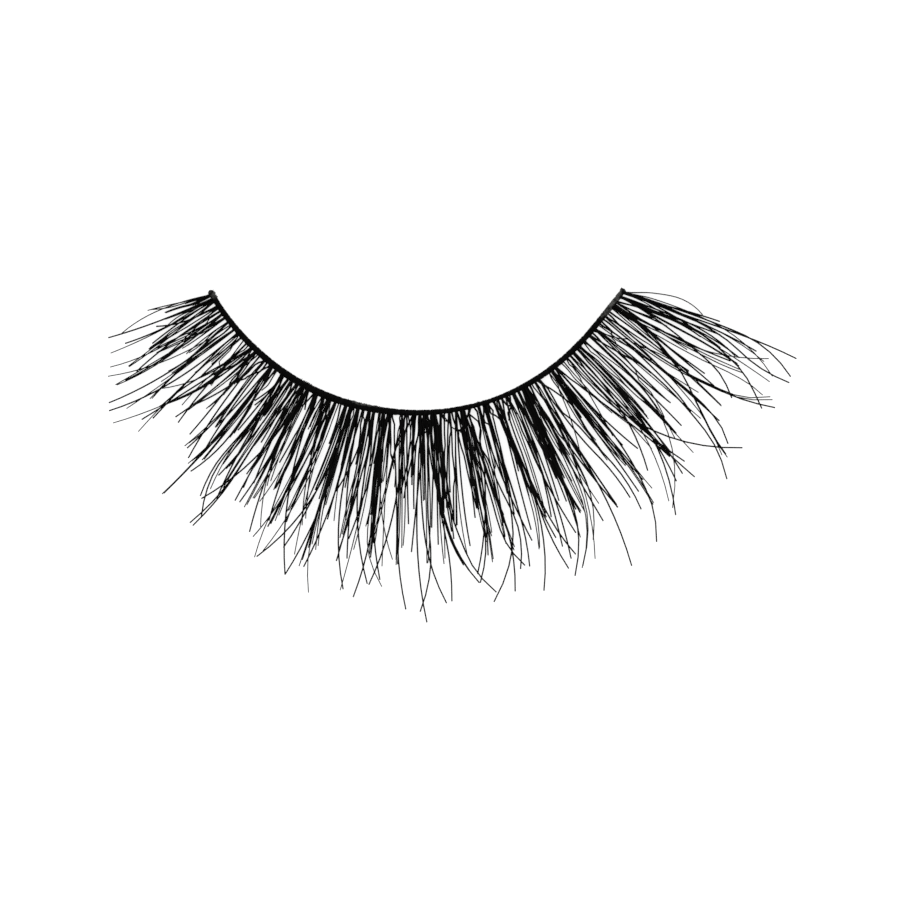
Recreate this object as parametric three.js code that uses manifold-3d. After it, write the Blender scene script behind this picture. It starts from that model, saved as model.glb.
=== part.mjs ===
// False eyelash strip, lying on its back with the curl upwards: a curved band, an under tier of
// short lashes that cross each other, and an upper tier of long lashes in locks.
// Millimetres, +Z up. The origin is the middle of the band's flat underside. The band runs along X
// there, and the lashes fan out towards -Y and curl up towards +Z.
import * as THREE from 'three';
import { mergeVertices } from 'three/addons/utils/BufferGeometryUtils.js';
import Module from 'manifold-3d';

// Band: a thin stiff cord, bent to the lid's edge and flat underneath
const bandLength = 33.6;
const bandWidth = 0.42;
const bandHeight = 0.5;
const bandBevel = 0.06;
const bandStepCount = 56;
const endFlare = 0.07; // how much wider the cut ends are on each side
const endFlareLength = 0.5;

// The band's bends from its left end, each a share of its length and the turn along it in degrees
const bends = [
  { share: 0.666, turn: 81.2 },
  { share: 0.239, turn: 30.8 },
  { share: 0.095, turn: 1.5 },
];
const fanRadius = 15.6; // the lashes beyond the band's ends open round this radius

// Lashes: their reach is measured in plan, out from the band
const longestReach = 13.8;
const bellyReach = 2.5; // up to here they lie flat
const curlRise = 4.5; // height of the longest tips over the belly
const fitGap = 0.05; // between the band and the knot rows
const tierGap = 0.07; // between the under tier and the upper tier
const underThickness = 0.2;
const upperThickness = 0.19;
const knotRowDepth = 0.22;
const lockWidth = 0.6;
const lockTipWidth = 0.15;
const tipThinning = 0.4; // share of the thickness lost towards the tip

// Under tier: pairs of short locks that cross like an X
const underPairs = 18;
const underReach = 5.2;
const underSpread = 0.03; // sideways lean of a lock, as a share of the band's length
const underUneven = 0.28; // how much the reaches differ, as a share of the reach
const underWidth = 0.34;

// How many straight steps a lock is drawn in
const underStepCount = 3;
const upperStepCount = 6;

// Upper tier from the left end to the right. at and tip: where along the band a lock is rooted
// and where its tip lies, as shares of the band's length. reach: share of the longest reach.
// bow: sideways bulge, as a share of the band's length. wide: share of the lock width.
const upperLocks = [
  { at: 0.008, tip: -0.02, reach: 0.3, bow: -0.002, wide: 0.7 },
  { at: 0.02, tip: -0.012, reach: 0.53, bow: 0.002, wide: 0.8 },
  { at: 0.034, tip: 0.008, reach: 0.56, bow: 0, wide: 0.9 },
  { at: 0.056, tip: 0.033, reach: 0.61, bow: 0.004, wide: 1 },
  { at: 0.076, tip: 0.059, reach: 0.69, bow: 0.002, wide: 0.8 },
  { at: 0.094, tip: 0.068, reach: 0.71, bow: 0.005, wide: 1 },
  { at: 0.118, tip: 0.083, reach: 0.73, bow: 0.01, wide: 0.8 },
  { at: 0.138, tip: 0.112, reach: 0.66, bow: 0, wide: 1.1 },
  { at: 0.158, tip: 0.134, reach: 0.5, bow: -0.002, wide: 1 },
  { at: 0.176, tip: 0.172, reach: 0.57, bow: -0.002, wide: 0.9 },
  { at: 0.19, tip: 0.183, reach: 0.8, bow: 0.002, wide: 0.9 },
  { at: 0.208, tip: 0.193, reach: 0.64, bow: 0.004, wide: 1 },
  { at: 0.222, tip: 0.222, reach: 0.71, bow: 0.008, wide: 0.9 },
  { at: 0.238, tip: 0.23, reach: 0.84, bow: 0.006, wide: 1.1 },
  { at: 0.256, tip: 0.263, reach: 0.63, bow: 0.002, wide: 1 },
  { at: 0.272, tip: 0.293, reach: 0.73, bow: 0, wide: 0.8 },
  { at: 0.29, tip: 0.311, reach: 0.83, bow: 0.004, wide: 1 },
  { at: 0.31, tip: 0.319, reach: 0.66, bow: 0, wide: 0.9 },
  { at: 0.324, tip: 0.348, reach: 0.86, bow: 0.004, wide: 1.1 },
  { at: 0.346, tip: 0.366, reach: 0.8, bow: 0.002, wide: 0.8 },
  { at: 0.36, tip: 0.38, reach: 0.91, bow: 0.004, wide: 1.2 },
  { at: 0.384, tip: 0.403, reach: 0.71, bow: 0, wide: 0.9 },
  { at: 0.4, tip: 0.416, reach: 0.87, bow: 0.002, wide: 1.1 },
  { at: 0.418, tip: 0.431, reach: 0.89, bow: 0.006, wide: 1.1 },
  { at: 0.436, tip: 0.45, reach: 0.82, bow: -0.002, wide: 0.9 },
  { at: 0.454, tip: 0.469, reach: 0.69, bow: 0, wide: 1.1 },
  { at: 0.47, tip: 0.487, reach: 0.93, bow: -0.003, wide: 0.8 },
  { at: 0.488, tip: 0.51, reach: 1, bow: -0.004, wide: 0.8 },
  { at: 0.506, tip: 0.503, reach: 0.94, bow: 0.006, wide: 1 },
  { at: 0.522, tip: 0.532, reach: 0.9, bow: -0.006, wide: 1 },
  { at: 0.54, tip: 0.539, reach: 0.9, bow: -0.002, wide: 1.3 },
  { at: 0.56, tip: 0.563, reach: 0.77, bow: -0.01, wide: 1 },
  { at: 0.578, tip: 0.588, reach: 0.88, bow: -0.014, wide: 0.9 },
  { at: 0.6, tip: 0.584, reach: 0.93, bow: 0.008, wide: 1 },
  { at: 0.624, tip: 0.608, reach: 0.9, bow: -0.002, wide: 1 },
  { at: 0.646, tip: 0.62, reach: 0.8, bow: 0.002, wide: 0.8 },
  { at: 0.666, tip: 0.641, reach: 0.93, bow: 0.004, wide: 1.1 },
  { at: 0.692, tip: 0.673, reach: 0.87, bow: -0.004, wide: 1 },
  { at: 0.714, tip: 0.676, reach: 0.92, bow: 0.008, wide: 1.4 },
  { at: 0.738, tip: 0.689, reach: 0.89, bow: 0.006, wide: 1.2 },
  { at: 0.758, tip: 0.706, reach: 0.8, bow: 0.002, wide: 0.9 },
  { at: 0.784, tip: 0.735, reach: 0.99, bow: 0.002, wide: 0.9 },
  { at: 0.808, tip: 0.753, reach: 0.71, bow: -0.002, wide: 0.9 },
  { at: 0.832, tip: 0.771, reach: 0.95, bow: 0.003, wide: 1.3 },
  { at: 0.85, tip: 0.798, reach: 0.72, bow: 0, wide: 0.7 },
  { at: 0.872, tip: 0.804, reach: 0.9, bow: 0.014, wide: 1.1 },
  { at: 0.892, tip: 0.829, reach: 0.77, bow: 0.004, wide: 0.8 },
  { at: 0.91, tip: 0.863, reach: 0.72, bow: 0.004, wide: 1 },
  { at: 0.926, tip: 0.869, reach: 0.93, bow: 0.012, wide: 1 },
  { at: 0.94, tip: 0.889, reach: 0.86, bow: 0.01, wide: 0.9 },
  { at: 0.952, tip: 0.94, reach: 0.69, bow: -0.004, wide: 0.8 },
  { at: 0.962, tip: 1.002, reach: 0.87, bow: -0.016, wide: 0.8 },
  { at: 0.972, tip: 0.982, reach: 0.85, bow: 0.016, wide: 1 },
  { at: 0.982, tip: 1.024, reach: 0.8, bow: 0.004, wide: 1 },
  { at: 0.992, tip: 1.053, reach: 0.85, bow: 0.008, wide: 0.9 },
];

const hairBlack = new THREE.MeshStandardMaterial({
  color: 0x0a0909,
  roughness: 0.42,
  metalness: 0,
  flatShading: true,
});
const underBlack = hairBlack.clone();
underBlack.roughness = 0.5;
const bandBlack = new THREE.MeshStandardMaterial({
  color: 0x1a191b,
  roughness: 0.62,
  metalness: 0,
  flatShading: true,
});

const wasm = await Module();
wasm.setup();

// One step along a line of constant bend: the place and heading after it.
function stepAlong(place, length, turn) {
  if (length === 0) {
    return place;
  }
  const heading = place.heading + turn;
  const radius = length / turn;
  return {
    x: place.x + radius * (Math.sin(heading) - Math.sin(place.heading)),
    y: place.y - radius * (Math.cos(heading) - Math.cos(place.heading)),
    heading,
  };
}

// Place and heading on the band's middle line, at a share of its length from the left end.
// Beyond both ends the line goes on round the fan's radius.
function walkBand(share) {
  let place = { x: 0, y: 0, heading: 0 };
  if (share < 0) {
    const back = share * bandLength;
    return stepAlong(place, back, back / fanRadius);
  }
  let rest = share;
  for (const bend of bends) {
    const part = Math.min(rest, bend.share);
    const turn = THREE.MathUtils.degToRad(bend.turn) * (part / bend.share);
    place = stepAlong(place, part * bandLength, turn);
    rest -= part;
  }
  const past = Math.max(rest, 0) * bandLength;
  return stepAlong(place, past, past / fanRadius);
}

const bandMiddle = walkBand(0.5);

// The point in plan at a share along the band, so far outward from its middle line.
function planPoint(share, outward) {
  const place = walkBand(share);
  const x = place.x + outward * Math.sin(place.heading) - bandMiddle.x;
  const y = place.y - outward * Math.cos(place.heading) - bandMiddle.y;
  return new THREE.Vector2(x, y).rotateAround(new THREE.Vector2(), -bandMiddle.heading);
}

// Height of the curl over the belly, at a distance out from the band.
function curlHeight(reach) {
  const beyond = Math.max(0, reach - bellyReach) / (longestReach - bellyReach);
  return curlRise * beyond ** 2;
}

// A strip in plan that follows the band between two offsets, which may vary along it.
function stripShape(innerOffset, outerOffset) {
  const shape = [];
  for (let i = 0; i <= bandStepCount; i += 1) {
    const share = i / bandStepCount;
    shape.push(planPoint(share, outerOffset(share)));
  }
  for (let i = bandStepCount; i >= 0; i -= 1) {
    const share = i / bandStepCount;
    shape.push(planPoint(share, innerOffset(share)));
  }
  return new THREE.Shape(shape);
}

// The band: its plan outline raised straight up, with small bevels and slightly flared cut ends.
function bandGeometry() {
  const halfWidth = (share) => {
    const toEnd = Math.min(share, 1 - share) * bandLength;
    return bandWidth / 2 + endFlare * Math.exp(-((toEnd / endFlareLength) ** 2));
  };
  const outline = stripShape((share) => -halfWidth(share), halfWidth);
  const geometry = new THREE.ExtrudeGeometry(outline, {
    depth: bandHeight - 2 * bandBevel,
    bevelThickness: bandBevel,
    bevelSize: bandBevel,
    bevelOffset: -bandBevel,
    bevelSegments: 1,
  });
  geometry.translate(0, 0, bandBevel);
  return geometry;
}

// A closed solid from a geometry whose faces share their vertices.
function solidOf(geometry) {
  geometry.deleteAttribute('normal');
  geometry.deleteAttribute('uv');
  const merged = mergeVertices(geometry);
  return new wasm.Manifold(new wasm.Mesh({
    numProp: 3,
    vertProperties: new Float32Array(merged.attributes.position.array),
    triVerts: new Uint32Array(merged.index.array),
  }));
}

// The row of knots that a tier hangs from: a narrow strip along the band's outer side.
function knotRow(tier) {
  const inner = bandWidth / 2 + fitGap + endFlare;
  const outline = stripShape(() => inner, () => inner + knotRowDepth);
  const geometry = new THREE.ExtrudeGeometry(outline, {
    depth: tier.thickness,
    bevelEnabled: false,
  });
  geometry.translate(0, 0, tier.base);
  return solidOf(geometry);
}

// One lock: a blade with four sides, from inside the knot row to a blunt tip, that narrows
// and thins outwards and follows the curl.
function lockSolid(lock, tier) {
  const rootOut = fitGap + endFlare + knotRowDepth / 2;
  const stations = [];
  for (let i = 0; i <= tier.steps; i += 1) {
    const t = i / tier.steps;
    const share = lock.at + (lock.tip - lock.at) * t + lock.bow * 4 * t * (1 - t);
    const out = rootOut + (lock.reach - rootOut) * t;
    stations.push({ t, out, plan: planPoint(share, bandWidth / 2 + out) });
  }
  const vertices = [];
  stations.forEach((station, i) => {
    const before = stations[Math.max(i - 1, 0)].plan;
    const after = stations[Math.min(i + 1, tier.steps)].plan;
    const along = after.clone().sub(before).normalize();
    const half = (lockTipWidth + (lock.width - lockTipWidth) * (1 - station.t)) / 2;
    const thick = tier.thickness * (1 - tipThinning * station.t);
    const low = tier.base + curlHeight(station.out);
    const { x, y } = station.plan;
    vertices.push(x - along.y * half, y + along.x * half, low + thick / 2);
    vertices.push(x, y, low);
    vertices.push(x + along.y * half, y - along.x * half, low + thick / 2);
    vertices.push(x, y, low + thick);
  });
  const corners = 4;
  const faces = [0, 1, 2, 0, 2, 3];
  for (let i = 0; i < tier.steps; i += 1) {
    for (let k = 0; k < corners; k += 1) {
      const near = i * corners + k;
      const nearNext = i * corners + ((k + 1) % corners);
      faces.push(near, near + corners, nearNext);
      faces.push(nearNext, near + corners, nearNext + corners);
    }
  }
  const last = tier.steps * corners;
  faces.push(last, last + 2, last + 1, last, last + 3, last + 2);
  return new wasm.Manifold(new wasm.Mesh({
    numProp: 3,
    vertProperties: new Float32Array(vertices),
    triVerts: new Uint32Array(faces),
  }));
}

// A tier: its locks joined to its knot row as one solid.
function tierGeometry(tier, locks) {
  let solid = knotRow(tier);
  for (const lock of locks) {
    solid = solid.add(lockSolid(lock, tier));
  }
  const mesh = solid.asOriginal().getMesh();
  const geometry = new THREE.BufferGeometry();
  geometry.setAttribute('position', new THREE.BufferAttribute(mesh.vertProperties, 3));
  geometry.setIndex(new THREE.BufferAttribute(mesh.triVerts, 1));
  geometry.computeVertexNormals();
  return geometry;
}

// The under tier's locks in crossing pairs, whose reaches rise and fall along the band.
function underLocks() {
  const locks = [];
  for (let i = 0; i < underPairs; i += 1) {
    const at = (i + 0.5) / underPairs;
    const uneven = 1 - underUneven / 2 + (underUneven / 2) * Math.sin(i * 2.4);
    const side = 0.25 / underPairs;
    const shared = { reach: underReach * uneven, bow: 0, width: underWidth };
    locks.push({ ...shared, at: at - side, tip: at - side + underSpread });
    locks.push({ ...shared, at: at + side, tip: at + side - underSpread });
  }
  return locks;
}

const underTier = { base: 0, thickness: underThickness, steps: underStepCount };
const upperTier = {
  base: underThickness + tierGap,
  thickness: upperThickness,
  steps: upperStepCount,
};

function namedMesh(name, geometry, material) {
  const mesh = new THREE.Mesh(geometry, material);
  mesh.name = name;
  return mesh;
}

const strip = new THREE.Group();
strip.add(namedMesh('band', bandGeometry(), bandBlack));
strip.add(namedMesh('under_lashes', tierGeometry(underTier, underLocks()), underBlack));
strip.add(namedMesh('upper_lashes', tierGeometry(upperTier, upperLocks.map((lock) => ({
  at: lock.at,
  tip: lock.tip,
  reach: lock.reach * longestReach,
  bow: lock.bow,
  width: lock.wide * lockWidth,
}))), hairBlack));

export default strip;
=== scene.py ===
import bpy
import math
import numpy as np
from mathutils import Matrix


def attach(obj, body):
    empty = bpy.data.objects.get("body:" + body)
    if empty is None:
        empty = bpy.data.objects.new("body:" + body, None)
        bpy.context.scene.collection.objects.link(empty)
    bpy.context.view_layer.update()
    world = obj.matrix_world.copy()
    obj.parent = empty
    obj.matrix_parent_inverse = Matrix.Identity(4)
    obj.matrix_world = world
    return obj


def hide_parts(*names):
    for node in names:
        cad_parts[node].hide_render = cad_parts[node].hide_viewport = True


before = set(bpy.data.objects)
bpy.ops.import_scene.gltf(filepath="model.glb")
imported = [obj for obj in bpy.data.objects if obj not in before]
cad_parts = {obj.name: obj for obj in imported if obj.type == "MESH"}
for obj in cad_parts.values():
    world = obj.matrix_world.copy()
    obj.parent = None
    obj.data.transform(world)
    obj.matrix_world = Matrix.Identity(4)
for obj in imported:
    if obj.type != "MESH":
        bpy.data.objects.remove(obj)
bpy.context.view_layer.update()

mm = 0.001
rng = np.random.default_rng(41)

print("camera")
# It looks straight down from far off, so that the lifted tips stay in place
camera = {"distance": 1200.0, "frameWidth": 60.0, "sensor": 36.0, "centreX": 2.167, "centreY": -2.467}  # mm
lens = bpy.data.cameras.new("studio_camera")
lens.sensor_width = camera["sensor"]
lens.lens = camera["sensor"] * camera["distance"] / camera["frameWidth"]
eye = bpy.data.objects.new("studio_camera", lens)
eye.location = (camera["centreX"] * mm, camera["centreY"] * mm, camera["distance"] * mm)
bpy.context.scene.collection.objects.link(eye)
bpy.context.scene.camera = eye

# The band's route, in mm and degrees: three even bends from the left end to the right end
band = {
    "length": 33.6,
    "width": 0.42,
    "bends": [(0.666, 81.2), (0.239, 30.8), (0.095, 1.5)],  # share of the length, degrees turned
    "fanRadius": 15.6,     # the bend beyond either end, where the last hairs lean out
    "middle": 0.5,         # the share that faces forwards
}

# How the hairs rise from the floor towards their tips, in mm
curl = {"longestReach": 13.8, "bellyReach": 2.5, "rise": 4.5}


# x, y and heading on the band's middle line: each bend is an arc of even curvature, so the heading
# turns by curvature times distance and the place follows the sine and cosine of the heading
def bandWalk(share):
    distance = np.asarray(share, float) * band["length"]
    x, y, heading = (np.zeros_like(distance) for _ in range(3))
    curvature = 1 / band["fanRadius"]
    start, fromX, fromY, fromHeading = 0.0, 0.0, 0.0, 0.0
    stretches = [(-math.inf, 0.0, curvature)]
    for part, turn in band["bends"]:
        reach = part * band["length"]
        stretches.append((start, start + reach, math.radians(turn) / reach))
        start += reach
    stretches.append((start, math.inf, curvature))
    for low, high, curvature in stretches:
        origin = max(low, 0.0)
        here = (distance >= low) & (distance < high)
        turned = fromHeading + curvature * (distance - origin)
        heading = np.where(here, turned, heading)
        x = np.where(here, fromX + (np.sin(turned) - math.sin(fromHeading)) / curvature, x)
        y = np.where(here, fromY - (np.cos(turned) - math.cos(fromHeading)) / curvature, y)
        if math.isfinite(low) and math.isfinite(high):
            after = fromHeading + curvature * (high - low)
            fromX += (math.sin(after) - math.sin(fromHeading)) / curvature
            fromY -= (math.cos(after) - math.cos(fromHeading)) / curvature
            fromHeading = after
    return x, y, heading


middleX, middleY, middleHeading = (float(v[0]) for v in bandWalk([band["middle"]]))


# Plan point of a share along the band and a distance out from its front edge, in mm:
# out along the band's own normal, then turned so that the band's middle faces forwards
def planPoint(share, out):
    x, y, heading = bandWalk(share)
    outward = band["width"] / 2 + np.asarray(out, float)
    px = x + outward * np.sin(heading) - middleX
    py = y - outward * np.cos(heading) - middleY
    c, s = math.cos(-middleHeading), math.sin(-middleHeading)
    return px * c - py * s, px * s + py * c


# The way the band runs at a share, as a flat unit vector
def bandDirection(share):
    heading = bandWalk(share)[2] - middleHeading
    return np.stack([np.cos(heading), np.sin(heading), np.zeros_like(heading)], axis=-1)


# Height of the curl: flat over the belly, then a square law up to the tips
def curlHeight(out):
    lifted = np.maximum(0.0, out - curl["bellyReach"]) / (curl["longestReach"] - curl["bellyReach"])
    return curl["rise"] * lifted ** 2


# A mesh from whole arrays: points in mm, then faces, the last of them flat, and one number a point
# for every named mark
def makePiece(name, points, faces, flatFaces, marks):
    mesh = bpy.data.meshes.new(name)
    mesh.from_pydata(points * mm, [], faces)
    smooth = np.arange(len(faces)) < len(faces) - flatFaces
    mesh.polygons.foreach_set("use_smooth", smooth)
    for mark, values in marks.items():
        attribute = mesh.attributes.new(mark, "FLOAT", "POINT")
        attribute.data.foreach_set("value", np.ascontiguousarray(values, dtype=np.float32).ravel())
    mesh.update()
    piece = bpy.data.objects.new(name, mesh)
    bpy.context.scene.collection.objects.link(piece)
    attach(piece, "root")
    return piece


# Tubes carried along many paths at once. Round each station stands a ring of points, radius times
# cosine across plus radius times sine above; rings are joined by quads and the two ends are capped
def tubeRings(paths, radii, sides, upright):
    hairs, stations, _ = paths.shape
    run = np.gradient(paths, axis=1)
    run /= np.linalg.norm(run, axis=2, keepdims=True)
    across = np.cross(run, upright)
    across /= np.maximum(np.linalg.norm(across, axis=2, keepdims=True), 1e-9)
    above = np.cross(across, run)
    angle = np.arange(sides) * 2 * math.pi / sides
    ring = paths[:, :, None, :] + radii[:, :, None, None] * (
        np.cos(angle)[:, None] * across[:, :, None, :] + np.sin(angle)[:, None] * above[:, :, None, :])
    hair = np.arange(hairs)[:, None, None] * stations * sides
    station = np.arange(stations - 1)[None, :, None] * sides
    side = np.arange(sides)[None, None, :]
    after = (side + 1) % sides
    quads = np.stack([hair + station + side, hair + station + sides + side,
                      hair + station + sides + after, hair + station + after], axis=-1).reshape(-1, 4)
    first = np.arange(hairs)[:, None] * stations * sides + np.arange(sides)
    last = first[:, ::-1] + (stations - 1) * sides
    return ring.reshape(-1, 3), quads.tolist() + first.tolist() + last.tolist(), 2 * hairs


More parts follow.
